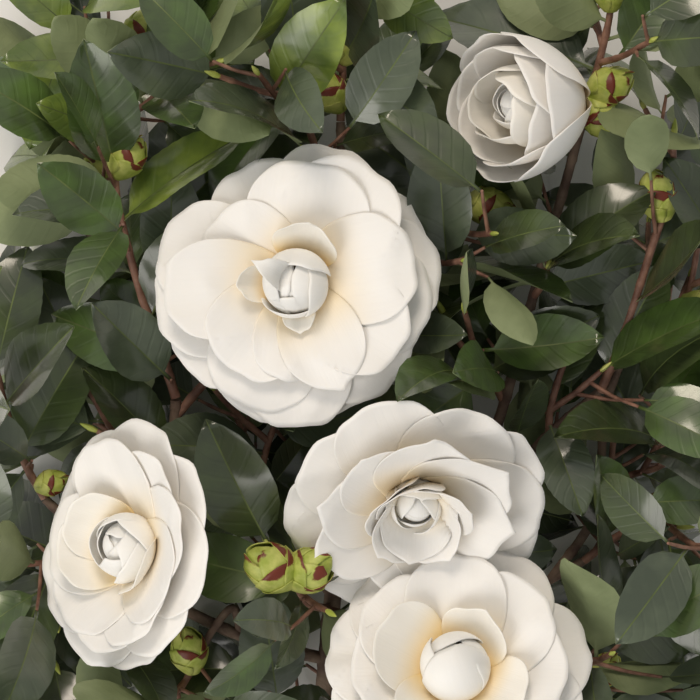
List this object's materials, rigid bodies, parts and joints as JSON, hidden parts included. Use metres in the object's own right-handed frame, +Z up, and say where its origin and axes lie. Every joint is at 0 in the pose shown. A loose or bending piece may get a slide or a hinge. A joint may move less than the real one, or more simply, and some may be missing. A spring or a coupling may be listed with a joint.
{
  "type": "flowering camellia branch",
  "caption": "Cut branch of a white camellia lying on its back, with open double blooms, fat buds and glossy evergreen leaves on forked twigs.",
  "frame": {"origin": "middle of the underside of the branch's bounding box, on the level surface that it lies on", "axes": "+Y from the cut end to the tips, +Z up to the open faces of the blooms, +X across to the right seen from above"},
  "size_m": [0.3308, 0.3616, 0.126],
  "materials": {
    "bark": "thin grey-brown to red-brown bark, matt, with fine lenticels",
    "foliage": "leathery dark green leaves, waxy and glossy above, paler and matt below",
    "petals": "soft white to cream petals, satin matt, slightly translucent"
  },
  "bodies": {
    "root": {"main_stem": "bark", "left_bough": "bark", "top_bough": "bark", "right_bough": "bark", "upper_right_bough": "bark", "lower_left_bough": "bark", "lower_right_bough": "bark", "right_edge_bough": "bark", "upper_left_bough": "bark", "bottom_left_bough": "bark", "left_bloom_stalk": "bark", "large_bloom_stalk": "bark", "middle_bloom_stalk": "bark", "lower_bloom_stalk": "bark", "upper_bloom_stalk": "bark", "large_bloom": "petals", "upper_bloom": "petals", "left_bloom": "petals", "middle_bloom": "petals", "lower_bloom": "petals", "left_shoot": "foliage", "upper_left_shoot": "foliage", "upper_middle_shoot": "foliage", "top_shoot": "foliage", "middle_shoot": "foliage", "upper_right_side_shoot": "foliage", "upper_right_shoot": "foliage", "right_shoot": "foliage", "right_edge_shoot": "foliage", "lower_right_shoot": "foliage", "bottom_right_shoot": "foliage", "bottom_shoot": "foliage", "bottom_left_shoot": "foliage", "left_edge_shoot": "foliage", "bud_shoot": "foliage", "inner_left_shoot": "foliage", "left_middle_shoot": "foliage", "lower_left_shoot": "foliage", "middle_right_shoot": "foliage", "right_inner_shoot": "foliage", "deep_right_shoot": "foliage", "lower_middle_shoot": "foliage"}
  },
  "joints": []
}
